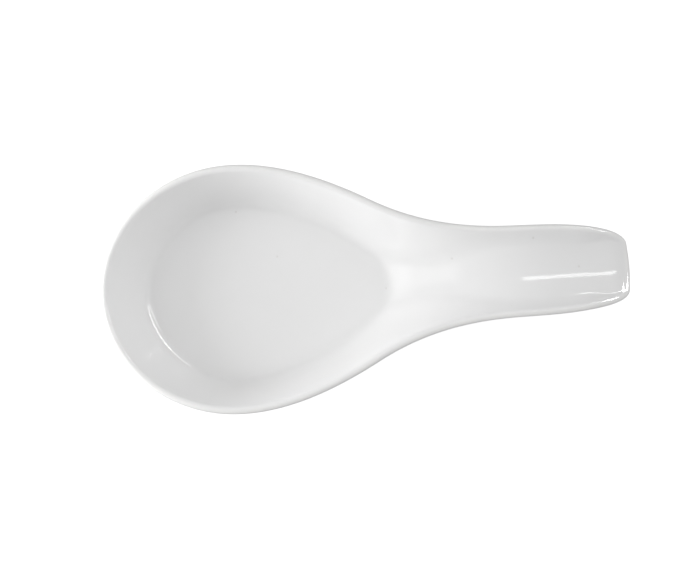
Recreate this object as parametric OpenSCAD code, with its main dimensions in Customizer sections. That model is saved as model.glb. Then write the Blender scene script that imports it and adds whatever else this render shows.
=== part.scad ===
// Spoon rest in one piece of glazed porcelain: an egg-shaped bowl whose wall runs on
// into an arched, trough-shaped handle with an open end, standing on a dry foot ring.
//
// Frame: X runs from the nose of the bowl to the tip of the handle, Z is up, and the
// origin is under the middle of the piece, on the table. The functions below measure
// x from the nose instead.
//
// The glazed skin is a loft of closed rings, which start beside the middle line of the
// trough, climb the wall, go over the round rim, and come back along the underside to
// the foot. The clay is the same loft drawn in by the thickness of the glaze.

/* [Overall] */
// Length from the nose of the bowl to the tip of the handle
length = 229; // [222:1:232]
// Width across the bowl
width = 107; // [103:1:112]
// Height of the bowl's rim above the table
height = 28; // [25:0.5:29]

/* [Bowl] */
// Distance from the nose to the widest station
bowl_centre = 58; // [57.5:0.5:62]
// Angle of the wall above the table at its sides, in degrees
side_angle = 63; // [58:0.5:65]
// Angle of the wall above the table at the nose, in degrees
nose_angle = 56; // [55:0.5:62]
// Thickness of the wall, which is the diameter of its round rim
wall = 3.6; // [3.2:0.1:4]
// Thickness of the floor and of the handle
floor_thick = 4; // [3.4:0.1:4.6]
// Height over which the floor turns up into the wall at the nose
nose_turn = 3; // [2:0.5:6]
// Height over which the floor turns up into the wall towards the handle
side_turn = 7; // [4:0.5:9]

/* [Handle] */
// Half-width of the handle at its waist
waist_half = 19.8; // [17:0.1:22]
// Half-width of the handle at its shoulders, near the tip
shoulder_half = 18.5; // [17:0.1:20]
// Distance from the nose to the start of the ramp that climbs into the handle
ramp_start = 123.5; // [116:0.5:127]
// Height that the trough climbs from the floor to its crest
crest_rise = 14.5; // [11:0.5:16]
// Height that the trough falls from its crest to the tip
tip_fall = 7.2; // [5:0.2:8.4]
// Further fall where the tip rolls over
tip_roll = 1.6; // [0.6:0.1:2.4]
// Height of the rim above the table at the waist
waist_rim = 26.4; // [24.5:0.1:26.9]
// Height of the rim above the table at the shoulders
shoulder_rim = 22.8; // [21.6:0.1:23.6]
// Angle of the trough's sides above the table, in degrees
handle_angle = 46; // [40:0.5:55]
// How much the trough is cupped: its height, per square of the distance from its middle line
trough_cup = 0.013; // [0.005:0.001:0.014]

/* [Foot] */
// Height of the foot ring below the underside
foot_height = 1.8; // [1.4:0.1:2.6]
// Width of the foot ring where it stands
foot_width = 2.6; // [2:0.1:4]
// Half-width of the egg that the foot ring follows
foot_half = 34; // [28:0.5:36]

/* [Glaze] */
// Thickness of the fired glaze
glaze = 0.4; // [0.2:0.05:0.5]
// Radius of the glazed fillet between the underside and the foot, which ends where the
// glaze stops
foot_fillet = 0.9; // [0.6:0.1:1]

/* [Hidden] */

half_width = width / 2;
floor_top = foot_height + floor_thick;
rim_radius = wall / 2;

// Knots of the side view of the trough: distance from the nose, height, slope
ramp_knot = [ramp_start, floor_top, 0.42];
crest_knot = [180, floor_top + crest_rise, 0];
tip_knot = [length, floor_top + crest_rise - tip_fall, -0.18];
roll_length = 9;
// Height over which the floor turns up into the ramp, how far the foot of the ramp is
// bowed, and how far its underside lags behind it
ramp_turn = 0.5;
ramp_bow = 0.027;
ramp_lag = 2;

// Knots of the rim's side view, and where the rim sinks into the open end
rim_start_knot = [80, height, 0];
waist_rim_knot = [176, waist_rim, -0.035];
shoulder_rim_knot = [208, shoulder_rim, -0.15];
sink_start = 206;
sink_end = length - 1.5;

// Knots of the outline's side: distance from the nose, half-width, slope
widest_knot = [bowl_centre, half_width, 0];
flank_knot = [117.5, 34.7, -0.56];
waist_knot = [177, waist_half, -0.018];
shoulder_knot = [207, shoulder_half, -0.123];
tip_corner = [length - 0.8, 10.1];
tip_lean = [0.117, -1];
corner_lead = 9.6;
corner_turn = 5.2;
end_turn = 3.3;

// Steps along the half outline, stretch by stretch from the nose to the tip
nose_steps = 13;
flank_steps = 8;
neck_steps = 8;
side_steps = 4;
corner_steps = 7;
end_steps = 2;
half_steps = nose_steps + flank_steps + neck_steps + side_steps + corner_steps + end_steps;
around = 2 * half_steps;

// Where the ray of the tip reaches the middle line, and how close the rays come to it
tip_ray_end = length - 14;
ray_share = 0.93;

// Rings of the upper side, as shares of the wall's run, and then on to the middle line
wall_shares = [0.45, 0.82, 1, 1.18, 1.6];
inner_shares = [0.45, 1];
// Rings of the rim, from where the inner face meets it at -1, over its crest at 0 and its
// outer side at 1, to where the outer face leaves it at 2
rim_places = [-1, -0.5, 0, 0.5, 1, 1.5, 2];
// Rings of the outer side, as shares of the wall's run, and of the underside, as shares of
// the way on to the foot or, under the handle, to the middle line
outer_shares = [0.5, 0.85, 1.1];
outer_run_least = 0.9;
under_shares = [0.16, 0.34, 0.54, 0.76, 1];
// Height over which the trough turns up into its sides
handle_turn = 2.4;
// Height over which the underside turns up into the outer wall, in the bowl and the handle
bowl_under_turn = 7;
handle_under_turn = 2.4;
// The lip of the open end: height over which it turns into the trough and the underside,
// slope of its underside and of the wall above it in degrees, and how much thicker it is
// for that slope
tip_turn = 1;
tip_under_angle = -27;
tip_wall_angle = 35;
tip_thicker = 0.13;

// The egg that the foot ring follows, and its section from the outside in
foot_nose = 38;
foot_tail = 54;
foot_edge = 0.3;
fillet_angles = [45, 90];
foot_outer = glaze + 0.8;
foot_inner = foot_outer + foot_width;
well_top = foot_height + glaze;
// Length of the egg's side from its widest point to its tail, and how near its ends and
// the rays under the handle come to the middle line
foot_run = 70;
under_half = 1.4;
tail_angle = asin(under_half / foot_half);
// Knots that spread the rays over the egg's side and then along the middle line
foot_spread_start = [bowl_centre, 0, 0.55];
foot_spread_flank = [flank_knot[0], 36, 0.75];
foot_spread_end = [shoulder_knot[0],
    foot_run + shoulder_knot[0] + shoulder_half * shoulder_knot[2] - bowl_centre - foot_tail, 1.2];

function mix(a, b, t) = a + (b - a) * t;
function unit(v) = v / norm(v);
function flat(v) = [v[0], v[1]];
function reversed(list) = [for (i = [len(list) - 1:-1:0]) list[i]];
function smooth(t) = let (u = min(max(t, 0), 1)) u * u * (3 - 2 * u);

// Point and direction on a curve with four control points
function on_curve(p, t) =
    pow(1 - t, 3) * p[0] + 3 * pow(1 - t, 2) * t * p[1]
    + 3 * (1 - t) * t * t * p[2] + pow(t, 3) * p[3];
function way_on_curve(p, t) =
    unit(pow(1 - t, 2) * (p[1] - p[0]) + 2 * (1 - t) * t * (p[2] - p[1]) + t * t * (p[3] - p[2]));

// Control points of the smooth span between two knots of [place, value, slope]
function span(a, b) =
    let (third = (b[0] - a[0]) / 3)
    [flat(a), flat(a) + third * [1, a[2]], flat(b) - third * [1, b[2]], flat(b)];
// Value of that span at a place
function value(a, b, x) = on_curve(span(a, b), (x - a[0]) / (b[0] - a[0]))[1];

// The higher of two surfaces, filleted where they are less than depth apart
function joined(a, b, depth) =
    let (near = max(depth - abs(a - b), 0) / depth)
    max(a, b) + near * near * depth / 4;

// Height of the ramp, carried on straight before its foot, and of the trough's middle line
function ramp(x) =
    x < ramp_start ? floor_top + ramp_knot[2] * (x - ramp_start) : value(ramp_knot, crest_knot, x);
function trough(x) =
    (x < crest_knot[0] ? joined(floor_top, ramp(x), ramp_turn) : value(crest_knot, tip_knot, x))
    - tip_roll * pow(max(x - length + roll_length, 0) / roll_length, 2);

// Height of the floor and trough away from the middle line. The foot of the ramp is
// bowed, and the trough is cupped.
function floor_at(p) =
    trough(p[0] + ramp_bow * pow(p[1], 2) * (1 - smooth((p[0] - ramp_start) / 50)))
    + trough_cup * pow(p[1], 2) * smooth((p[0] - ramp_start + 4) / 48);

// Height of the rim's crest, which sinks into the trough at the open end
function rim_line(x) =
    x <= rim_start_knot[0] ? height
    : x < waist_rim_knot[0] ? value(rim_start_knot, waist_rim_knot, x)
    : value(waist_rim_knot, shoulder_rim_knot, x);
function rim_at(s) =
    mix(rim_line(s[0][0]), floor_at(s[0] + rim_radius * s[1]), sunk(s[0][0]));

// Stations of the half outline: point, inward way, place on the middle line where its ray
// over the trough ends, and how far its ray under the piece ends along the foot's side
function station(p, way, ray_end, foot_place) =
    [p, unit([way[1], -way[0]]), [ray_end, 0], foot_place];
function nose_station(share) =
    let (a = 90 * share)
    station([bowl_centre * (1 - cos(a)), half_width * sin(a)],
        [bowl_centre * sin(a), half_width * cos(a)],
        bowl_centre - (pow(bowl_centre, 2) - pow(half_width, 2)) / bowl_centre * cos(a),
        (share - 1) * foot_run);
function foot_spread(x) =
    x < foot_spread_flank[0] ? value(foot_spread_start, foot_spread_flank, x)
    : value(foot_spread_flank, foot_spread_end, x);
function side_stations(a, b, steps) =
    [for (i = [1:steps])
        let (p = on_curve(span(a, b), i / steps), way = way_on_curve(span(a, b), i / steps))
        station(p, way, p[0] + p[1] * way[1] / way[0], foot_spread(p[0]))];
shoulder_ray_end = shoulder_knot[0] + shoulder_half * shoulder_knot[2];
corner_curve = [flat(shoulder_knot), flat(shoulder_knot) + corner_lead * [1, shoulder_knot[2]],
    tip_corner - corner_turn * tip_lean, tip_corner];
end_curve = [tip_corner, tip_corner + end_turn * tip_lean, [length, 4], [length, 0]];
function tip_stations(curve, steps, first) =
    [for (i = [1:steps])
        let (past = (tip_ray_end - shoulder_ray_end) * (first + i) / (corner_steps + end_steps))
        station(on_curve(curve, i / steps), way_on_curve(curve, i / steps),
            shoulder_ray_end + past, foot_spread_end[1] + past)];

half_outline = concat(
    [for (i = [0:nose_steps]) nose_station(i / nose_steps)],
    side_stations(widest_knot, flank_knot, flank_steps),
    side_stations(flank_knot, waist_knot, neck_steps),
    side_stations(waist_knot, shoulder_knot, side_steps),
    tip_stations(corner_curve, corner_steps, 0),
    tip_stations(end_curve, end_steps, corner_steps));

function mirrored(s) = [[s[0][0], -s[0][1]], [s[1][0], -s[1][1]], s[2], s[3]];
outline = concat(half_outline, [for (i = [half_steps - 1:-1:1]) mirrored(half_outline[i])]);

function depth_from_edge(s, p) = (p - s[0]) * s[1];

// Heights of the straight inner and outer faces of the wall, d in from the outline
function wall_angle_at(s) = mix(nose_angle, side_angle, smooth(s[0][0] / bowl_centre));
function angle_at(s) = mix(wall_angle_at(s), handle_angle, smooth((s[0][0] - 105) / 60));
function outer_angle_at(s) = mix(wall_angle_at(s), tip_under_angle, pow(sunk(s[0][0]), 3));
function outer_fall(s) = tan(mix(wall_angle_at(s), tip_wall_angle, sunk(s[0][0])));
function inner_edge(s) = rim_radius * (1 + sin(angle_at(s)));
function outer_edge(s) = rim_radius * (1 - sin(outer_angle_at(s)));
function inner_wall(s, d) =
    rim_at(s) - rim_radius * (1 - cos(angle_at(s))) - tan(angle_at(s)) * (d - inner_edge(s));
function outer_wall(s, d) =
    rim_at(s) - rim_radius * (1 + cos(outer_angle_at(s))) - outer_fall(s) * (d - outer_edge(s));
function sunk(x) = smooth((x - sink_start) / (sink_end - sink_start));
function bowl_turn_at(x) = mix(nose_turn, side_turn, smooth((x - 30) / 90));
function turn_at(x) =
    mix(mix(bowl_turn_at(x), handle_turn, smooth((x - 125) / 45)), tip_turn, sunk(x));
function under_turn_at(x) =
    mix(mix(bowl_under_turn, handle_under_turn, smooth((x - 100) / 90)), tip_turn, sunk(x));
function under_floor(p) =
    let (lag = ramp_lag * (1 - smooth((p[0] - ramp_start - 17) / 30)))
    floor_at(p - [lag, 0]) - floor_thick * (1 + tip_thicker * sunk(p[0]));
function upper_point(s, p) =
    [p[0], p[1],
        joined(floor_at(p), inner_wall(s, depth_from_edge(s, p)), turn_at(s[0][0]))];

// One point of the upper side, the rim and the underside at a station
function upper_on_ray(s, run) =
    let (start = s[0] + inner_edge(s) * s[1]) upper_point(s, start + run * unit(s[2] - start));
function wall_run(s) =
    let (depth = inner_wall(s, inner_edge(s)) - floor_at(s[0] + 12 * s[1]))
    max(depth / tan(angle_at(s)), 2.5);
function wall_point(s, share) = upper_on_ray(s, share * wall_run(s));
function inner_point(s, share) =
    let (first = wall_shares[len(wall_shares) - 1] * wall_run(s),
        last = ray_share * norm(s[2] - s[0]) - inner_edge(s))
    upper_on_ray(s, mix(first, last, share));
function rim_point(s, place) =
    let (a = place < 0 ? place * angle_at(s) : place < 1 ? place * 90
            : 90 + (place - 1) * (90 - outer_angle_at(s)),
        p = s[0] + rim_radius * (1 - sin(a)) * s[1],
        z = rim_at(s) - rim_radius * (1 - cos(a)))
    [p[0], p[1],
        place <= 0 ? joined(floor_at(p), z, mix(0.5, turn_at(s[0][0]), -place))
        : place > 1 ? joined(under_floor(p), z, mix(0.5, under_turn_at(p[0]), place - 1)) : z];
function outer_foot(s, share) =
    let (far = under_floor(s[0] + 6 * s[1]), near = outer_wall(s, outer_edge(s)),
        run = max((near - far) / outer_fall(s), outer_run_least))
    s[0] + (outer_edge(s) + share * run) * s[1];
function under_point(s, p) =
    [p[0], p[1],
        joined(under_floor(p), outer_wall(s, depth_from_edge(s, p)), under_turn_at(p[0]))];

// Point of the foot's egg at a station, drawn in by an inset
function foot_angle(s) = max(90 * (1 - s[3] / foot_run), tail_angle);
function foot_point(s, inset) =
    let (a = foot_angle(s), half_length = (a > 90 ? foot_nose : foot_tail) - inset)
    [bowl_centre + half_length * cos(a), (s[0][1] < 0 ? -1 : 1) * (foot_half - inset) * sin(a)];
function under_target(s) =
    s[3] < foot_run ? foot_point(s, -foot_fillet)
    : [bowl_centre + foot_tail + foot_fillet + s[3] - foot_run,
        sign(s[0][1]) * under_half];
function under_way(s, share) =
    mix(outer_foot(s, outer_shares[len(outer_shares) - 1]), under_target(s), share);

// The foot's loops take the stations from the nose to the tail of the egg, on both sides
foot_steps = len([for (s = half_outline) if (foot_angle(s) > tail_angle) 1]);
foot_stations = concat([for (i = [0:foot_steps]) outline[i]],
    [for (i = [around - foot_steps:around - 1]) outline[i]]);
function foot_loop(inset, z) =
    [for (s = foot_stations) let (p = foot_point(s, inset)) [p[0], p[1], z]];
function fillet_loop(radius, a) =
    foot_loop(radius * sin(a) - foot_fillet, foot_height - foot_fillet + radius * cos(a));

// The glazed skin: rings all round the piece, and loops down the outer side of the foot
skin_rings = concat(
    [for (share = reversed(inner_shares)) [for (s = outline) inner_point(s, share)]],
    [for (share = reversed(wall_shares)) [for (s = outline) wall_point(s, share)]],
    [for (place = rim_places) [for (s = outline) rim_point(s, place)]],
    [for (share = outer_shares) [for (s = outline) under_point(s, outer_foot(s, share))]],
    [for (share = under_shares) [for (s = outline) under_point(s, under_way(s, share))]]);
skin_loops = [for (a = fillet_angles) fillet_loop(foot_fillet, a)];

// The clay: the skin drawn in along its normals, the bare foot, and the well inside it
function outward(rings, j, i) =
    let (along = rings[j][(i + 1) % around] - rings[j][(i + around - 1) % around],
        across = rings[min(j + 1, len(rings) - 1)][i] - rings[max(j - 1, 0)][i])
    unit(cross(along, across));
clay_rings = [for (j = [0:len(skin_rings) - 1]) [for (i = [0:around - 1])
    skin_rings[j][i] - glaze * outward(skin_rings, j, i)]];
clay_loops = [for (a = fillet_angles) fillet_loop(foot_fillet + glaze, a)];
well_glaze_loop = foot_loop(foot_inner + foot_edge, foot_height);
well_loop = foot_loop(foot_inner + foot_edge + 0.1, well_top);
foot_loops = [foot_loop(foot_outer - foot_edge, foot_edge), foot_loop(foot_outer, 0),
    foot_loop(foot_inner, 0), foot_loop(foot_inner + foot_edge, foot_edge),
    well_glaze_loop, well_loop];

// Two triangles between a closed row of points and the next, split alike on both sides of
// the middle. Turned faces look the other way.
function turned(triangles, turn) = turn ? [for (t = triangles) reversed(t)] : triangles;
function row_step(first, next, count, turn) =
    [for (i = [0:count - 1])
        let (k = (i + 1) % count, a = first + i, b = next + i, c = next + k, d = first + k)
        for (t = turned(i < count / 2 ? [[a, b, c], [a, c, d]] : [[a, b, d], [b, c, d]], turn)) t];
// Triangles between the two sides of a closed row, from one station to a later one
function across(first, count, from, to, turn) =
    [for (i = [from:to - 1])
        let (j = (count - i) % count, k = count - i - 1)
        for (t = [[i, i + 1, k], [i, k, j]])
            if (t[0] != t[2] && t[1] != t[2])
                [for (n = turn ? reversed(t) : t) first + n]];

// Faces of one skin: the rings, closed over the trough and under the handle, and the loops
foot_count = 2 * foot_steps + 1;
function skin_faces(first, rings, loops, turn) =
    let (under = first + (rings - 1) * around, foot = under + around)
    concat(
        across(first, around, 0, half_steps, turn),
        [for (j = [0:rings - 2])
            for (t = row_step(first + j * around, first + (j + 1) * around, around, turn)) t],
        across(under, around, foot_steps, half_steps, !turn),
        foot_start(under, foot, turn),
        [for (j = [0:loops - 2])
            for (t = row_step(foot + j * foot_count, foot + (j + 1) * foot_count,
                foot_count, turn)) t]);
// The first step onto the foot leaves out the stations under the handle
function foot_start(under, foot, turn) =
    [for (i = [0:foot_count - 1])
        let (k = (i + 1) % foot_count, skip = around - foot_count,
            a = under + (i <= foot_steps ? i : i + skip),
            d = under + (k <= foot_steps ? k : k + skip), b = foot + i, c = foot + k)
        for (t = turned(i <= foot_steps ? [[a, b, c], [a, c, d]] : [[a, b, d], [b, c, d]], turn)) t];
function skin_size(rings, loops) = rings * around + loops * foot_count;
function points_of(rows) = [for (row = rows) for (p = row) p];

module solid(points, faces) {
    translate([-length / 2, 0, 0])
        polyhedron(points, faces);
}

// Fired clay: the whole form, bare on the foot ring only
module porcelain_body() {
    loops = concat(clay_loops, foot_loops);
    last = skin_size(len(clay_rings), len(loops) - 1);
    color("#e9e4da")
        solid(points_of(concat(clay_rings, loops)),
            concat(skin_faces(0, len(clay_rings), len(loops), false),
                across(last, foot_count, 0, foot_steps, true)));
}

// Glaze over the bowl, the handle, the rim and the outer side, down to the foot. Its inner
// face is the clay's.
module glaze_coat() {
    rings = len(skin_rings);
    loops = len(skin_loops);
    inner = skin_size(rings, loops);
    edge = skin_size(rings, loops - 1);
    color("#f8f8f6")
        solid(points_of(concat(skin_rings, skin_loops, clay_rings, clay_loops)),
            concat(skin_faces(0, rings, loops, false), skin_faces(inner, rings, loops, true),
                row_step(edge, inner + edge, foot_count, false)));
}

// Glaze on the recessed underside inside the foot ring
module foot_well_glaze() {
    color("#f3f3f0")
        solid(points_of([well_loop, well_glaze_loop]),
            concat(across(0, foot_count, 0, foot_steps, false),
                row_step(0, foot_count, foot_count, false),
                across(foot_count, foot_count, 0, foot_steps, true)));
}

porcelain_body();
glaze_coat();
foot_well_glaze();
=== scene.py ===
import math

import bpy
import numpy as np
from mathutils import Matrix, Vector


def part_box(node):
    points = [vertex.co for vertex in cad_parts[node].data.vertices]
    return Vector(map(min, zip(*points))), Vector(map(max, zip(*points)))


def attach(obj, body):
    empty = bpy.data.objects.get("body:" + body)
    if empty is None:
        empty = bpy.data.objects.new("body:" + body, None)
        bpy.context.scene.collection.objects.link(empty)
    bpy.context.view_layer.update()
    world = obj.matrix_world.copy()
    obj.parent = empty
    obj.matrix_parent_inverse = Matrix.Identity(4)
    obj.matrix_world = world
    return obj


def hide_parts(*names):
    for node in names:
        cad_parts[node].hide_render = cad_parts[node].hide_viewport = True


# Spoon rest in white glazed porcelain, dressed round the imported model.
# The shape functions work in millimetres, with x from the nose of the bowl, as the
# solids' source does. in_frame() turns their points into the frame, in metres. Materials,
# camera and lights are in metres, and name a small size as so many MM.

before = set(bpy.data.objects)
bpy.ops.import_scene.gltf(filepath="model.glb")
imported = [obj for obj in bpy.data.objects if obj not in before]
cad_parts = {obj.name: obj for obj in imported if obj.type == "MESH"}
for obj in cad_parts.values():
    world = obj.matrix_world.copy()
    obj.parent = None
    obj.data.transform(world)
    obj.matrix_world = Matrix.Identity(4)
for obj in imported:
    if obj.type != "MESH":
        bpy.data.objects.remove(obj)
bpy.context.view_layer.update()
MM = 0.001

# Driving dimensions
low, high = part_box("glaze_coat")
LENGTH = (high.x - low.x) / MM
HALF_WIDTH = (high.y - low.y) / 2 / MM
HEIGHT = high.z / MM
BOWL_CENTRE = 58
SIDE_ANGLE = math.radians(63)
NOSE_ANGLE = math.radians(56)
HANDLE_ANGLE = math.radians(46)
WALL = 3.6
FLOOR_THICK = 4
WAIST_HALF = 19.8
SHOULDER_HALF = 18.5
RAMP_START = 123.5
CREST_RISE = 14.5
TIP_FALL = 7.2
TIP_ROLL = 1.6
WAIST_RIM = 26.4
SHOULDER_RIM = 22.8
FOOT_HEIGHT = 1.8
FOOT_WIDTH = 2.6
FOOT_HALF = 34
FOOT_FILLET = 0.9
GLAZE = 0.4

FLOOR_TOP = FOOT_HEIGHT + FLOOR_THICK
RIM_RADIUS = WALL / 2

# Knots of the side view of the trough: distance from the nose, height, slope
RAMP_KNOT = (RAMP_START, FLOOR_TOP, 0.42)
CREST_KNOT = (180, FLOOR_TOP + CREST_RISE, 0)
TIP_KNOT = (LENGTH, FLOOR_TOP + CREST_RISE - TIP_FALL, -0.18)
ROLL_LENGTH = 9
# How much the ramp's foot is bowed, how far its underside lags behind it, and the trough's cup
RAMP_BOW = 0.027
RAMP_LAG = 2
TROUGH_CUP = 0.013

# Knots of the rim's side view
RIM_START_KNOT = (80, HEIGHT, 0)
WAIST_RIM_KNOT = (176, WAIST_RIM, -0.035)
SHOULDER_RIM_KNOT = (208, SHOULDER_RIM, -0.15)

# Knots of the outline's side: distance from the nose, half-width, slope
WIDEST_KNOT = (BOWL_CENTRE, HALF_WIDTH, 0)
FLANK_KNOT = (117.5, 34.7, -0.56)
WAIST_KNOT = (177, WAIST_HALF, -0.018)
SHOULDER_KNOT = (207, SHOULDER_HALF, -0.123)

# The rounded corner of the open end, and how far its two curves reach from their ends
TIP_CORNER = np.array([LENGTH - 0.8, 10.1])
TIP_LEAN = np.array([0.117, -1])
CORNER_LEAD = 9.6
CORNER_TURN = 5.2
END_TURN = 3.3
END_LEAD = 4

# Where the rays of the shoulder and of the tip reach the middle line
SHOULDER_RAY_END = SHOULDER_KNOT[0] + SHOULDER_HALF * SHOULDER_KNOT[2]
TIP_RAY_END = LENGTH - 14

# Heights over which one face turns into the next
RAMP_TURN = 0.5
NOSE_TURN = 3
SIDE_TURN = 7
HANDLE_TURN = 2.4
BOWL_UNDER_TURN = 7
HANDLE_UNDER_TURN = 2.4
TIP_TURN = 1
RIM_TURN = 0.5

# Changes along the piece: where each one starts, and the length over which it happens
SINK_START = 206
RIM_SINKS = (SINK_START, LENGTH - 1.5 - SINK_START)
BOW_FADES = (RAMP_START, 50)
CUP_DEEPENS = (RAMP_START - 4, 48)
LAG_FADES = (RAMP_START + 17, 30)
WALL_STEEPENS = (0, BOWL_CENTRE)
WALL_OPENS = (105, 60)
TURN_WIDENS = (30, 90)
TURN_NARROWS = (125, 45)
UNDER_TURN_NARROWS = (100, 90)

# The lip of the open end: slope of its underside and of the wall above, and how much thicker it is
TIP_UNDER_ANGLE = math.radians(-27)
TIP_WALL_ANGLE = math.radians(35)
TIP_THICKER = 0.13

# How far in from the outline the floor and the underside are looked up, to find how far each face
# of the wall runs, the least that it runs, and how much farther the mesh's own wall rings go
FLOOR_DEPTH = 12
UNDER_DEPTH = 6
INNER_RUN_LEAST = 2.5
OUTER_RUN_LEAST = 0.9
INNER_RUN_SHARE = 1.6
OUTER_RUN_SHARE = 1.1

# The egg that the foot ring follows, and the length of its side from the widest point to the tail
FOOT_NOSE = 38
FOOT_TAIL = 54
FOOT_RUN = 70

# Knots that spread the rays over the egg's side, and then along the middle line
FOOT_SPREAD_START = (BOWL_CENTRE, 0, 0.55)
FOOT_SPREAD_FLANK = (FLANK_KNOT[0], 36, 0.75)
FOOT_SPREAD_END = (SHOULDER_KNOT[0], FOOT_RUN + SHOULDER_RAY_END - BOWL_CENTRE - FOOT_TAIL, 1.2)

# Loops of the foot from the outside in, as insets and heights. The well's glaze lies between the
# last two.
FOOT_EDGE = 0.3
WELL_DRAFT = 0.1
FOOT_OUTER = GLAZE + 0.8
FOOT_INNER = FOOT_OUTER + FOOT_WIDTH
WELL_EDGE = FOOT_INNER + FOOT_EDGE
FOOT_LOOPS = ((GLAZE, FOOT_HEIGHT - FOOT_FILLET), (FOOT_OUTER - FOOT_EDGE, FOOT_EDGE), (FOOT_OUTER, 0),
              (FOOT_INNER, 0), (WELL_EDGE, FOOT_EDGE), (WELL_EDGE, FOOT_HEIGHT),
              (WELL_EDGE + WELL_DRAFT, FOOT_HEIGHT + GLAZE))

# The glaze ends on the foot in a soft edge: the angle at which it leaves the fillet, and its loops
FILLET_END = math.radians(75)
GLAZE_END_LOOPS = ((0, 1.0), (0.08, 0.92), (0.22, FOOT_HEIGHT - FOOT_FILLET), FOOT_LOOPS[0])

# The rim's colour is painted whiter as a highlight, and its glaze taken as thinnest and rougher, just outside
# the crest of the rim, on its scale of ring places
HIGHLIGHT_AND_THINNEST_PLACE = 0.3
HIGHLIGHT_AND_THIN_SPREAD = 0.55

# Mesh steps along the half outline, rings across the section, and the angle that makes an edge sharp
NOSE_STEPS, FLANK_STEPS, NECK_STEPS, SIDE_STEPS, CORNER_STEPS, END_STEPS = 48, 30, 34, 16, 26, 8
INNER_RINGS, WALL_RINGS, RIM_RINGS, OUTER_RINGS, UNDER_RINGS, FILLET_RINGS = 18, 18, 20, 10, 14, 5
SHARP_ANGLE = math.radians(50)


def mix(a, b, t):
    return a + (b - a) * t


def smooth(t):
    """A smooth step from 0 to 1."""
    u = np.clip(t, 0, 1)
    return u * u * (3 - 2 * u)


def done(change, x):
    """How much of a change of (start, length) is done at x, from 0 to 1."""
    return smooth((x - change[0]) / change[1])


def unit(v):
    return v / np.linalg.norm(v, axis=-1, keepdims=True)


def on_curve(p, t):
    """Point on a curve with four control points."""
    t = np.asarray(t)[..., None]
    return (1 - t) ** 3 * p[0] + 3 * (1 - t) ** 2 * t * p[1] + 3 * (1 - t) * t * t * p[2] + t ** 3 * p[3]


def way_on_curve(p, t):
    """Direction of that curve."""
    t = np.asarray(t)[..., None]
    return unit((1 - t) ** 2 * (p[1] - p[0]) + 2 * (1 - t) * t * (p[2] - p[1]) + t * t * (p[3] - p[2]))


def span(a, b):
    """Control points of the smooth span between two knots of (place, value, slope)."""
    third = (b[0] - a[0]) / 3
    first, last = np.array(a[:2], float), np.array(b[:2], float)
    return [first, first + third * np.array([1, a[2]]), last - third * np.array([1, b[2]]), last]


def value(a, b, x):
    """Value of that span at a place."""
    return on_curve(span(a, b), (x - a[0]) / (b[0] - a[0]))[..., 1]


def joined(a, b, depth):
    """The higher of two surfaces, filleted where they are less than depth apart."""
    near = np.maximum(depth - np.abs(a - b), 0) / depth
    return np.maximum(a, b) + near * near * depth / 4


def trough(x):
    """Height of the trough's middle line."""
    before = FLOOR_TOP + RAMP_KNOT[2] * (x - RAMP_START)
    ramp = np.where(x < RAMP_START, before, value(RAMP_KNOT, CREST_KNOT, x))
    rise = joined(FLOOR_TOP, ramp, RAMP_TURN)
    roll = np.maximum(x - LENGTH + ROLL_LENGTH, 0) / ROLL_LENGTH
    return np.where(x < CREST_KNOT[0], rise, value(CREST_KNOT, TIP_KNOT, x)) - TIP_ROLL * roll ** 2


def floor_at(p):
    """Height of the floor and trough. The foot of the ramp is bowed, and the trough is cupped."""
    x, y = p[..., 0], p[..., 1]
    bow = RAMP_BOW * y ** 2 * (1 - done(BOW_FADES, x))
    return trough(x + bow) + TROUGH_CUP * y ** 2 * done(CUP_DEEPENS, x)


def under_floor(p):
    """Height of the underside, whose ramp lags behind the trough's."""
    x, y = p[..., 0], p[..., 1]
    lag = RAMP_LAG * (1 - done(LAG_FADES, x))
    return floor_at(np.stack([x - lag, y], axis=-1)) - FLOOR_THICK * (1 + TIP_THICKER * done(RIM_SINKS, x))


def rim_at(x, crest):
    """Height of the rim's crest, which sinks into the trough at the open end."""
    side = np.where(x < WAIST_RIM_KNOT[0], value(RIM_START_KNOT, WAIST_RIM_KNOT, x),
                    value(WAIST_RIM_KNOT, SHOULDER_RIM_KNOT, x))
    return mix(np.where(x <= RIM_START_KNOT[0], HEIGHT, side), floor_at(crest), done(RIM_SINKS, x))


def turn_at(x):
    """Height over which the floor and the trough turn up into the wall."""
    bowl = mix(NOSE_TURN, SIDE_TURN, done(TURN_WIDENS, x))
    return mix(mix(bowl, HANDLE_TURN, done(TURN_NARROWS, x)), TIP_TURN, done(RIM_SINKS, x))


def under_turn_at(x):
    """Height over which the underside turns up into the outer wall."""
    turn = mix(BOWL_UNDER_TURN, HANDLE_UNDER_TURN, done(UNDER_TURN_NARROWS, x))
    return mix(turn, TIP_TURN, done(RIM_SINKS, x))


def foot_spread(x):
    """How far along the foot's side, or the middle line past it, the ray from x ends."""
    return np.where(x < FOOT_SPREAD_FLANK[0], value(FOOT_SPREAD_START, FOOT_SPREAD_FLANK, x),
                    value(FOOT_SPREAD_FLANK, FOOT_SPREAD_END, x))


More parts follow.
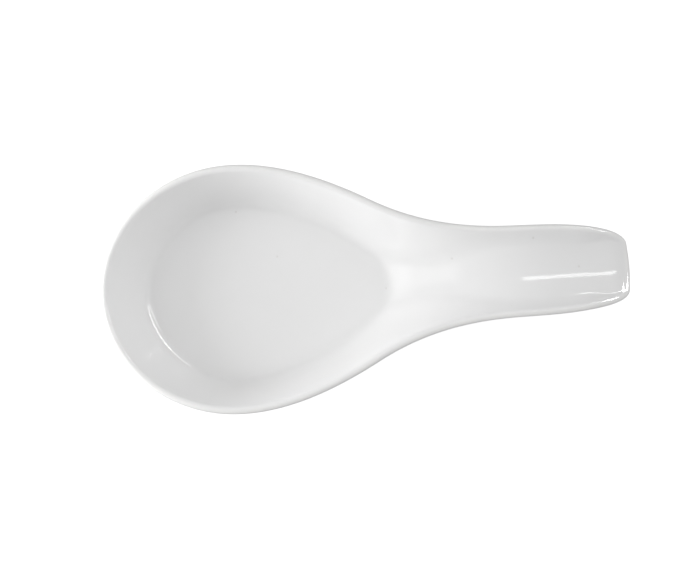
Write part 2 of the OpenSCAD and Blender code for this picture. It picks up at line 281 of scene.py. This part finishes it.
class Outline:
    """Stations round the outline, and the faces, rings and loops that are drawn in from them.

    A station has a point, its inward way, the place on the middle line where its ray over the
    trough ends, and how far along the foot's side its ray under the piece ends.
    """

    def __init__(self):
        half = np.concatenate([self.nose(), self.side(WIDEST_KNOT, FLANK_KNOT, FLANK_STEPS),
                               self.side(FLANK_KNOT, WAIST_KNOT, NECK_STEPS),
                               self.side(WAIST_KNOT, SHOULDER_KNOT, SIDE_STEPS), *self.tip()])
        mirrored = half[-2:0:-1] * [1, -1, 1, -1, 1, 1]
        full = np.concatenate([half, mirrored])
        self.around = len(full)
        self.point, self.way = full[:, 0:2], unit(full[:, 2:4])
        self.ray_end = np.stack([full[:, 4], np.zeros(self.around)], axis=-1)
        self.foot_place = full[:, 5]
        self.foot_last = int(np.argmin(np.abs(half[:, 5] - FOOT_RUN)))
        self.foot_place[[self.foot_last, -self.foot_last]] = FOOT_RUN
        self.foot_stations = np.r_[0:self.foot_last + 1, self.around - self.foot_last + 1:self.around]
        x = self.point[:, 0]
        self.x, self.rim = x, rim_at(x, self.drawn_in(RIM_RADIUS))
        wall_angle = mix(NOSE_ANGLE, SIDE_ANGLE, done(WALL_STEEPENS, x))
        self.angle = mix(wall_angle, HANDLE_ANGLE, done(WALL_OPENS, x))
        self.outer_angle = mix(wall_angle, TIP_UNDER_ANGLE, done(RIM_SINKS, x) ** 3)
        self.fall = np.tan(mix(wall_angle, TIP_WALL_ANGLE, done(RIM_SINKS, x)))
        self.inner_edge = RIM_RADIUS * (1 + np.sin(self.angle))
        self.outer_edge = RIM_RADIUS * (1 - np.sin(self.outer_angle))

    @staticmethod
    def stations(point, way, ray_end, foot_place):
        """One row for each station. The way along the outline is turned inward."""
        return np.column_stack([point, way[:, 1], -way[:, 0], ray_end, foot_place])

    def nose(self):
        """Half of the ellipse at the nose."""
        share = np.linspace(0, 1, NOSE_STEPS + 1)
        a = share * math.pi / 2
        point = np.column_stack([BOWL_CENTRE * (1 - np.cos(a)), HALF_WIDTH * np.sin(a)])
        way = unit(np.column_stack([BOWL_CENTRE * np.sin(a), HALF_WIDTH * np.cos(a)]))
        spread = (BOWL_CENTRE ** 2 - HALF_WIDTH ** 2) / BOWL_CENTRE
        return self.stations(point, way, BOWL_CENTRE - spread * np.cos(a), (share - 1) * FOOT_RUN)

    def side(self, a, b, steps):
        """The side between two knots."""
        t = np.arange(1, steps + 1) / steps
        point, way = on_curve(span(a, b), t), way_on_curve(span(a, b), t)
        ray_end = point[:, 0] + point[:, 1] * way[:, 1] / way[:, 0]
        return self.stations(point, way, ray_end, foot_spread(point[:, 0]))

    def tip(self):
        """The rounded corner, and then half of the open end."""
        shoulder = np.array(SHOULDER_KNOT[:2], float)
        corner = [shoulder, shoulder + CORNER_LEAD * np.array([1, SHOULDER_KNOT[2]]),
                  TIP_CORNER - CORNER_TURN * TIP_LEAN, TIP_CORNER]
        end = [TIP_CORNER, TIP_CORNER + END_TURN * TIP_LEAN,
               np.array([LENGTH, END_LEAD]), np.array([LENGTH, 0])]
        for curve, steps, first in [(corner, CORNER_STEPS, 0), (end, END_STEPS, CORNER_STEPS)]:
            i = np.arange(1, steps + 1)
            past = (TIP_RAY_END - SHOULDER_RAY_END) * (first + i) / (CORNER_STEPS + END_STEPS)
            yield self.stations(on_curve(curve, i / steps), way_on_curve(curve, i / steps),
                                SHOULDER_RAY_END + past, FOOT_SPREAD_END[1] + past)

    def drawn_in(self, d):
        """The outline drawn in by a distance."""
        return self.point + np.asarray(d)[..., None] * self.way

    def depth(self, p):
        """How far points are in from the outline."""
        return np.sum((p - self.point) * self.way, axis=-1)

    def inner_wall(self, d):
        """Height of the straight inner face at a depth in from the outline."""
        return self.rim - RIM_RADIUS * (1 - np.cos(self.angle)) - np.tan(self.angle) * (d - self.inner_edge)

    def outer_wall(self, d):
        """Height of the straight outer face at a depth in from the outline."""
        return self.rim - RIM_RADIUS * (1 + np.cos(self.outer_angle)) - self.fall * (d - self.outer_edge)

    def upper(self, run):
        """Points of the floor, the trough and the inner face, at a run from the rim's inner edge."""
        start = self.drawn_in(self.inner_edge)
        p = start + np.asarray(run)[..., None] * unit(self.ray_end - start)
        z = joined(floor_at(p), self.inner_wall(self.depth(p)), turn_at(self.x))
        return np.column_stack([p, z])

    def inner_run(self):
        """How far the inner face runs from the rim's inner edge down to the floor."""
        fall = self.inner_wall(self.inner_edge) - floor_at(self.drawn_in(FLOOR_DEPTH))
        return np.maximum(fall / np.tan(self.angle), INNER_RUN_LEAST)

    def whole_run(self):
        """How far the ray runs from the rim's inner edge to the middle line."""
        return np.linalg.norm(self.ray_end - self.drawn_in(self.inner_edge), axis=-1)

    def rim_ring(self, place):
        """Ring of the rim: its inner edge at -1, its crest at 0, its outer side at 1, its outer edge at 2."""
        a = place * (self.angle if place < 0 else math.pi / 2)
        if place > 1:
            a = math.pi / 2 + (place - 1) * (math.pi / 2 - self.outer_angle)
        p = self.drawn_in(RIM_RADIUS * (1 - np.sin(a)))
        z = self.rim - RIM_RADIUS * (1 - np.cos(a))
        if place <= 0:
            z = joined(floor_at(p), z, mix(RIM_TURN, turn_at(self.x), -place))
        elif place > 1:
            z = joined(under_floor(p), z, mix(RIM_TURN, under_turn_at(p[:, 0]), place - 1))
        return np.column_stack([p, z])

    def on_outer_face(self, share):
        """Places on the outer face, at a share of the way down to the underside."""
        fall = self.outer_wall(self.outer_edge) - under_floor(self.drawn_in(UNDER_DEPTH))
        run = np.maximum(fall / self.fall, OUTER_RUN_LEAST)
        return self.drawn_in(self.outer_edge + share * run)

    def under(self, p):
        """Points of the outer face and the underside over places in plan."""
        z = joined(under_floor(p), self.outer_wall(self.depth(p)), under_turn_at(p[:, 0]))
        return np.column_stack([p, z])

    def on_foot(self, inset):
        """Places on the foot's egg, drawn in by an inset."""
        a = np.maximum(math.pi / 2 * (1 - self.foot_place / FOOT_RUN), 0)
        length = np.where(a > math.pi / 2, FOOT_NOSE, FOOT_TAIL) - inset
        side = np.where(self.point[:, 1] < 0, -1, 1)
        return np.column_stack([BOWL_CENTRE + length * np.cos(a), side * (FOOT_HALF - inset) * np.sin(a)])

    def under_target(self):
        """Where the rays under the piece end: on the foot's fillet, or past it on the middle line."""
        past = BOWL_CENTRE + FOOT_TAIL + FOOT_FILLET + self.foot_place - FOOT_RUN
        middle = np.column_stack([past, np.zeros(self.around)])
        return np.where((self.foot_place < FOOT_RUN)[:, None], self.on_foot(-FOOT_FILLET), middle)

    def skin_rings(self):
        """Rings of the glazed skin, from the middle line of the trough to the foot's fillet."""
        whole, first = self.whole_run(), INNER_RUN_SHARE * self.inner_run()
        rings = [self.upper(mix(whole, first, t)) for t in np.linspace(0, 1, INNER_RINGS)]
        rings += [self.upper(first * (1 - t)) for t in np.linspace(0, 1, WALL_RINGS + 1)[1:-1]]
        rings += [self.rim_ring(place) for place in np.linspace(-1, 2, RIM_RINGS)]
        rings += [self.under(self.on_outer_face(OUTER_RUN_SHARE * t))
                  for t in np.linspace(0, 1, OUTER_RINGS)[1:]]
        start, target = self.on_outer_face(OUTER_RUN_SHARE), self.under_target()
        rings += [self.under(mix(start, target, t)) for t in np.linspace(0, 1, UNDER_RINGS)[1:]]
        return rings

    @staticmethod
    def thin_glaze_and_rim_highlight():
        """How much each ring is painted whiter as a highlight on the rim, and taken as thinner, rougher
        glaze: most near the crest of the rim.
        """
        before, after = INNER_RINGS + WALL_RINGS - 1, OUTER_RINGS + UNDER_RINGS - 2
        crest = np.exp(-((np.linspace(-1, 2, RIM_RINGS) - HIGHLIGHT_AND_THINNEST_PLACE) / HIGHLIGHT_AND_THIN_SPREAD) ** 2)
        return np.concatenate([np.zeros(before), crest, np.zeros(after)])

    def foot_loop(self, inset, z):
        """A level loop round the foot's egg, drawn in by an inset."""
        places = self.on_foot(inset)[self.foot_stations]
        return np.column_stack([places, np.full(len(places), z)])

    def fillet_loops(self):
        """Loops of the fillet between the underside and the foot."""
        for a in np.linspace(0, FILLET_END, FILLET_RINGS)[1:]:
            z = FOOT_HEIGHT - FOOT_FILLET + FOOT_FILLET * math.cos(a)
            yield self.foot_loop(FOOT_FILLET * (math.sin(a) - 1), z)


class Skin:
    """The glazed skin as one mesh: welded along the trough, and under the handle as far as the foot."""

    def __init__(self, outline):
        rings, loops = outline.skin_rings(), list(outline.fillet_loops())
        ring_numbers = self.welded(numbered(rings, 0), outline)
        loop_numbers = numbered(loops, ring_numbers.size)
        fillet_start = ring_numbers[-1][outline.foot_stations]
        faces = strip_faces(ring_numbers) + strip_faces(np.vstack([fillet_start, loop_numbers]))
        # Mask of the rim's painted highlight, which also makes its glaze rougher
        rim_highlight_and_thinness = np.concatenate([np.repeat(outline.thin_glaze_and_rim_highlight(), outline.around), np.zeros(loop_numbers.size)])
        used = np.unique([n for face in faces for n in face])
        new_number = dict(zip(used.tolist(), range(len(used))))
        self.points = np.concatenate(rings + loops)[used]
        self.rim_highlight_and_thinness = rim_highlight_and_thinness[used]
        self.faces = [[new_number[n] for n in face] for face in faces]
        self.edge = [new_number[n] for n in loop_numbers[-1]]
        self.clay_points = drawn_under(self.points, self.faces, GLAZE)

    @staticmethod
    def welded(number, outline):
        """Vertex numbers of the rings, where both sides of the middle line share theirs."""
        stations = np.arange(outline.around)
        mirror = (-stations) % outline.around
        past_foot = np.minimum(stations, mirror) >= outline.foot_last
        number[0] = np.minimum(number[0], number[0][mirror])
        number[-1] = np.where(past_foot, np.minimum(number[-1], number[-1][mirror]), number[-1])
        return number


def numbered(loops, first):
    """Vertex numbers of loops of equal length, row by row from a first number."""
    return first + np.arange(len(loops) * len(loops[0])).reshape(len(loops), -1)


def strip_faces(number):
    """Faces between rows of vertex numbers that run round in a loop, without the doubled ones."""
    faces = []
    for this, after in zip(number, number[1:]):
        for i in range(len(this)):
            k = (i + 1) % len(this)
            ring = [this[i], this[k], after[k], after[i]]
            face = [int(n) for j, n in enumerate(ring) if n != ring[j - 1]]
            if len(set(face)) > 2:
                faces.append(face)
    return faces


def drawn_under(points, faces, depth):
    """The same points drawn in by a depth along the surface's normals."""
    mesh = bpy.data.meshes.new("normals")
    mesh.from_pydata(points.tolist(), [], faces)
    normals = np.zeros(len(points) * 3)
    mesh.vertex_normals.foreach_get("vector", normals)
    bpy.data.meshes.remove(mesh)
    return points - depth * normals.reshape(-1, 3)


def in_frame(points):
    """Points of the shape functions, in the frame, in metres."""
    return (points - [LENGTH / 2, 0, 0]) * MM


def make_piece(name, points, faces, node, material, rim_highlight_and_thinness=None):
    """A smooth mesh on the body root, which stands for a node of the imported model."""
    mesh = bpy.data.meshes.new(name)
    mesh.from_pydata(in_frame(points).tolist(), [], faces)
    # The rim's painted highlight mask, also used for rougher glaze there
    if rim_highlight_and_thinness is not None:
        mesh.attributes.new("thin_glaze_and_rim_highlight", "FLOAT", "POINT").data.foreach_set("value", rim_highlight_and_thinness)
    mesh.validate()
    mesh.shade_smooth()
    mesh.set_sharp_from_angle(angle=SHARP_ANGLE)
    mesh.materials.append(material)
    piece = bpy.data.objects.new(name, mesh)
    bpy.context.scene.collection.objects.link(piece)
    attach(piece, "root")
    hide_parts(node)


def make_glaze_surface(outline, skin, material):
    """The glaze as a closed shell: the skin, the clay's skin under it, and a soft edge on the foot."""
    count = len(skin.points)
    loops = [outline.foot_loop(inset, z) for inset, z in GLAZE_END_LOOPS]
    loop_numbers = numbered(loops, 2 * count)
    clay_faces = [[n + count for n in reversed(face)] for face in skin.faces]
    clay_edge = [n + count for n in skin.edge]
    faces = skin.faces + clay_faces + strip_faces(np.vstack([skin.edge, loop_numbers, clay_edge]))
    # The rim's painted highlight mask: none on the clay side or the glaze's edge
    rim_highlight_and_thinness = np.concatenate([skin.rim_highlight_and_thinness, np.zeros(count + loop_numbers.size)])
    points = np.vstack([skin.points, skin.clay_points, *loops])
    make_piece("glaze_surface", points, faces, "glaze_coat", material, rim_highlight_and_thinness)


def make_foot_and_clay(outline, skin, material):
    """The fired clay under the glaze, closed by the dry foot ring and the floor of its well."""
    loops = [outline.foot_loop(inset, z) for inset, z in FOOT_LOOPS]
    loop_numbers = numbered(loops, len(skin.points))
    well_floor = loop_numbers[-1].tolist()
    faces = skin.faces + strip_faces(np.vstack([skin.edge, loop_numbers])) + [well_floor]
    points = np.vstack([skin.clay_points, *loops])
    make_piece("foot_and_clay", points, faces, "porcelain_body", material)


def make_well_glaze_surface(outline, material):
    """The glaze in the foot's well, a flat disc between the last two loops of the foot."""
    loops = [outline.foot_loop(inset, z) for inset, z in FOOT_LOOPS[-2:]]
    lower, upper = numbered(loops, 0)
    faces = [lower.tolist()] + strip_faces(np.vstack([upper, lower])) + [upper[::-1].tolist()]
    make_piece("well_glaze_surface", np.vstack(loops), faces, "foot_well_glaze", material)


class Material:
    """A node material, with short ways to add and link its nodes."""

    def __init__(self, name):
        self.material = bpy.data.materials.new(name)
        self.material.use_nodes = True
        self.tree = self.material.node_tree
        self.shader = self.tree.nodes["Principled BSDF"]
        self.place = self.tree.nodes.new("ShaderNodeTexCoord").outputs["Object"]

    def add(self, kind, inputs, output=0, **settings):
        """Adds a node. An input is the value or the output that its socket gets."""
        node = self.tree.nodes.new(kind)
        for name, setting in settings.items():
            setattr(node, name, setting)
        for name, given in inputs.items():
            self.give(node.inputs[name], given)
        return node.outputs[output]

    def give(self, socket, given):
        """Sets a socket to a value, or links an output to it."""
        if isinstance(given, bpy.types.NodeSocket):
            self.tree.links.new(given, socket)
        else:
            socket.default_value = given

    def math(self, operation, a, b):
        return self.add("ShaderNodeMath", {0: a, 1: b}, operation=operation)

    def ramp(self, value, start, end, low=0.0, high=1.0):
        """A smooth step from low to high as the value goes from start to end."""
        inputs = {"Value": value, "From Min": start, "From Max": end, "To Min": low, "To Max": high}
        return self.add("ShaderNodeMapRange", inputs, interpolation_type="SMOOTHSTEP")

    def noise(self, size, detail):
        """Even noise with features about as large as the size, in metres."""
        inputs = {"Vector": self.place, "Scale": 1 / size, "Detail": detail, "Roughness": 0.5}
        return self.add("ShaderNodeTexNoise", inputs)

    def mixed(self, share, a, b):
        """A colour between a and b."""
        return self.add("ShaderNodeMix", {0: share, 6: a, 7: b}, 2, data_type="RGBA")

    def dots(self, spacing, radius, share):
        """Small round dots, in a share of cells as wide as the spacing."""
        cells = self.tree.nodes.new("ShaderNodeTexVoronoi")
        self.give(cells.inputs["Vector"], self.place)
        cells.inputs["Scale"].default_value = 1 / spacing
        red = self.add("ShaderNodeSeparateColor", {"Color": cells.outputs["Color"]})
        kept = self.math("LESS_THAN", red, share)
        core = 0.6 * radius
        round_dot = self.ramp(cells.outputs["Distance"], radius / spacing, core / spacing)
        return self.math("MULTIPLY", kept, round_dot)

    def spots(self, places, radius, core):
        """Round spots seen from above, at places in metres, which fade from a core to a radius."""
        flat = self.add("ShaderNodeVectorMath", {0: self.place, 1: (1, 1, 0)}, operation="MULTIPLY")
        total = 0.0
        for x, y in places:
            away = self.add("ShaderNodeVectorMath", {0: flat, 1: (x, y, 0)}, "Value", operation="DISTANCE")
            total = self.math("MAXIMUM", total, self.ramp(away, radius, core))
        return total

    def bump(self, height, distance, below=None):
        """A bump of a depth in metres, over another one."""
        inputs = {"Height": height, "Distance": distance}
        if below:
            inputs["Normal"] = below
        return self.add("ShaderNodeBump", inputs)


GLAZE_WHITE = (0.95, 0.95, 0.95, 1)
GLAZE_CLOUD = (0.94, 0.94, 0.938, 1)
# Painted highlight: the whiter colour that the crest of the rim is painted, where light catches it
PAINTED_RIM_HIGHLIGHT_WHITE = (0.985, 0.982, 0.97, 1)
SPECK_BROWN = (0.42, 0.38, 0.33, 1)
CLAY_LIGHT = (0.78, 0.75, 0.68, 1)
CLAY_DARK = (0.69, 0.65, 0.57, 1)
GRIT_BROWN = (0.5, 0.46, 0.39, 1)
RUBBED_GREY = (0.5, 0.49, 0.47, 1)

# Specks in the glaze that the photo shows, from above: x and y from the middle of the piece
SPECKS = [(x * MM, y * MM) for x, y in ((-56, 36), (-39, 15), (8, -2), (37, 8), (72, 14), (91.5, 1))]
SPECK_SHARE = 0.16
PINHOLE_SHARE = 0.1
RIM_ROUGHER = 0.05
RUBBED_SHARE = 0.55


def glaze_material():
    """Clear gloss glaze over white: hardly uneven, a few fired specks. The crest of the rim is rougher, and
    its colour is painted whiter as a highlight.
    """
    m = Material("clear gloss glaze over white")
    colour = m.mixed(m.ramp(m.noise(45 * MM, detail=3), 0.35, 0.65), GLAZE_CLOUD, GLAZE_WHITE)
    rim_highlight_and_thinness = m.add("ShaderNodeAttribute", {}, "Fac", attribute_name="thin_glaze_and_rim_highlight")
    # Painted highlight: the rim's colour is made whiter in patches along its crest; the same mask makes it
    # rougher
    patchy_highlight_and_rough = m.math("MULTIPLY", rim_highlight_and_thinness, m.ramp(m.noise(6 * MM, detail=4), 0.3, 0.7, low=0.35))
    colour = m.mixed(patchy_highlight_and_rough, colour, PAINTED_RIM_HIGHLIGHT_WHITE)
    pinholes = m.dots(6 * MM, 0.25 * MM, PINHOLE_SHARE)
    specks = m.math("MAXIMUM", pinholes, m.spots(SPECKS, 0.7 * MM, 0.2 * MM))
    colour = m.mixed(m.math("MULTIPLY", specks, SPECK_SHARE), colour, SPECK_BROWN)
    m.give(m.shader.inputs["Base Color"], colour)
    uneven = m.ramp(m.noise(20 * MM, detail=4), 0.4, 0.7, low=0.055, high=0.085)
    m.give(m.shader.inputs["Roughness"], m.math("ADD", uneven, m.math("MULTIPLY", patchy_highlight_and_rough, RIM_ROUGHER)))
    m.shader.inputs["IOR"].default_value = 1.5
    orange_peel = m.bump(m.noise(4.5 * MM, detail=1), 0.01 * MM)
    waves = m.bump(m.noise(22 * MM, detail=1), 0.06 * MM, below=orange_peel)
    m.give(m.shader.inputs["Normal"], m.bump(specks, -0.08 * MM, below=waves))
    return m.material


def biscuit_material():
    """Dry fired clay: gritty, a little rubbed and grey where it stands."""
    m = Material("dry biscuit foot")
    grain = m.noise(0.4 * MM, detail=3)
    colour = m.mixed(m.ramp(m.noise(12 * MM, detail=3), 0.35, 0.65), CLAY_DARK, CLAY_LIGHT)
    colour = m.mixed(m.ramp(grain, 0.6, 0.75, high=0.5), colour, GRIT_BROWN)
    height = m.add("ShaderNodeSeparateXYZ", {"Vector": m.place}, "Z")
    touched = m.ramp(height, 0.25 * MM, 0)
    rubbed = m.math("MULTIPLY", touched, m.ramp(m.noise(5 * MM, detail=4), 0.4, 0.6))
    colour = m.mixed(m.math("MULTIPLY", rubbed, RUBBED_SHARE), colour, RUBBED_GREY)
    m.give(m.shader.inputs["Base Color"], colour)
    m.give(m.shader.inputs["Roughness"], m.ramp(rubbed, 0, 1, low=0.9, high=0.62))
    coarse = m.bump(m.noise(1.2 * MM, detail=2), 0.06 * MM)
    m.give(m.shader.inputs["Normal"], m.bump(grain, 0.05 * MM, below=coarse))
    return m.material


def make_camera():
    """The camera stands nearly straight above, a little off square."""
    distance, tilt, roll = 0.7, math.radians(5.3), math.radians(3.68)
    target = Vector((-8.03, -3.44, 26)) * MM
    right = Vector((math.cos(roll), -math.sin(roll), 0))
    up = Vector((math.sin(roll), math.cos(roll), 0))
    back = Vector((0, 0, math.cos(tilt))) - up * math.sin(tilt)
    camera = bpy.data.objects.new("camera", bpy.data.cameras.new("camera"))
    bpy.context.scene.collection.objects.link(camera)
    camera.data.sensor_width = 36
    camera.data.lens = 84.3
    axes = Matrix((right, back.cross(right), back)).transposed()
    camera.matrix_world = Matrix.Translation(target + back * distance) @ axes.to_4x4()
    bpy.context.scene.camera = camera


def make_floor():
    """A plain pale floor, which looks white to the camera as the backdrop does."""
    reach = 3
    mesh = bpy.data.meshes.new("floor")
    corners = [(-reach, -reach, 0), (reach, -reach, 0), (reach, reach, 0), (-reach, reach, 0)]
    mesh.from_pydata(corners, [], [[0, 1, 2, 3]])
    floor = bpy.data.objects.new("floor", mesh)
    bpy.context.scene.collection.objects.link(floor)
    m = Material("pale floor")
    m.shader.inputs["Base Color"].default_value = (0.42, 0.42, 0.42, 1)
    m.shader.inputs["Roughness"].default_value = 0.9
    m.shader.inputs["Emission Color"].default_value = (1, 1, 1, 1)
    seen = m.add("ShaderNodeLightPath", {}, "Is Camera Ray")
    m.give(m.shader.inputs["Emission Strength"], m.math("MULTIPLY", seen, 0.85))
    mesh.materials.append(m.material)


def direction(azimuth, elevation):
    """The way towards an azimuth and elevation in degrees."""
    a, e = math.radians(azimuth), math.radians(elevation)
    return Vector((math.cos(a) * math.cos(e), math.sin(a) * math.cos(e), math.sin(e)))


def make_world():
    """Even light all round, with two wide soft bounces, in front of a white backdrop."""
    even = 0.2
    bounces = ((direction(26, 39), 0.75), (direction(-90, 10), 0.36))
    bounce_edge = 0.3
    world = bpy.data.worlds.new("studio")
    bpy.context.scene.world = world
    world.use_nodes = True
    tree = world.node_tree
    way = tree.nodes.new("ShaderNodeTexCoord").outputs["Generated"]
    total = tree.nodes.new("ShaderNodeLightPath").outputs["Is Camera Ray"]
    for towards, radiance in bounces:
        near = tree.nodes.new("ShaderNodeVectorMath")
        near.operation = "DOT_PRODUCT"
        tree.links.new(way, near.inputs[0])
        near.inputs[1].default_value = towards
        part = tree.nodes.new("ShaderNodeMapRange")
        part.interpolation_type = "SMOOTHSTEP"
        part.inputs["From Min"].default_value = bounce_edge
        part.inputs["To Min"].default_value = even / len(bounces)
        part.inputs["To Max"].default_value = radiance + even / len(bounces)
        tree.links.new(near.outputs["Value"], part.inputs["Value"])
        added = tree.nodes.new("ShaderNodeMath")
        tree.links.new(part.outputs["Result"], added.inputs[0])
        tree.links.new(total, added.inputs[1])
        total = added.outputs["Value"]
    tree.nodes["Background"].inputs["Color"].default_value = (1, 1, 1, 1)
    tree.links.new(total, tree.nodes["Background"].inputs["Strength"])


def make_softbox(name, place, size, radiance, aim, seen_only=False):
    """A softbox of even brightness. One that is seen only shows in the gloss and lights nothing."""
    light = bpy.data.objects.new(name, bpy.data.lights.new(name, "AREA"))
    bpy.context.scene.collection.objects.link(light)
    light.data.shape = "RECTANGLE"
    light.data.size, light.data.size_y = size
    light.data.energy = math.pi * size[0] * size[1] * radiance
    light.location = place
    light.rotation_euler = (Vector(aim) - Vector(place)).to_track_quat("-Z", "Y").to_euler()
    light.visible_diffuse = not seen_only


def make_lights():
    """Softboxes at the left light the piece. A strip and two lamps only draw streaks in its gloss."""
    piece, lamp_distance = (0, 0, 0.02), 2
    make_softbox("left softbox", (-1, 0, 0.3), (0.6, 0.6), radiance=7.8, aim=(0, 0, 0.3))
    make_softbox("upper left softbox", (-1, 0, 0.9), (1.4, 0.6), radiance=1.16, aim=(0, 0, 0.9))
    make_softbox("overhead softbox", (-0.6, 0, 0.9), (0.4, 0.4), radiance=1, aim=piece)
    make_softbox("strip", (0.6, 0.25, 1.0), (0.8, 0.08), radiance=6, aim=(0.6, 0.25, 0), seen_only=True)
    make_softbox("lamp", direction(30.5, 26) * lamp_distance, (1.12, 0.3), radiance=17, aim=piece,
                 seen_only=True)
    make_softbox("small lamp", direction(54, 30) * lamp_distance, (0.45, 0.3), radiance=6, aim=piece,
                 seen_only=True)


glaze = glaze_material()
biscuit = biscuit_material()
outline = Outline()
skin = Skin(outline)
make_glaze_surface(outline, skin, glaze)
make_foot_and_clay(outline, skin, biscuit)
make_well_glaze_surface(outline, glaze)

make_world()
make_camera()
make_floor()
make_lights()
bpy.context.scene.view_settings.view_transform = "Standard"
bpy.context.scene.cycles.use_denoising = True
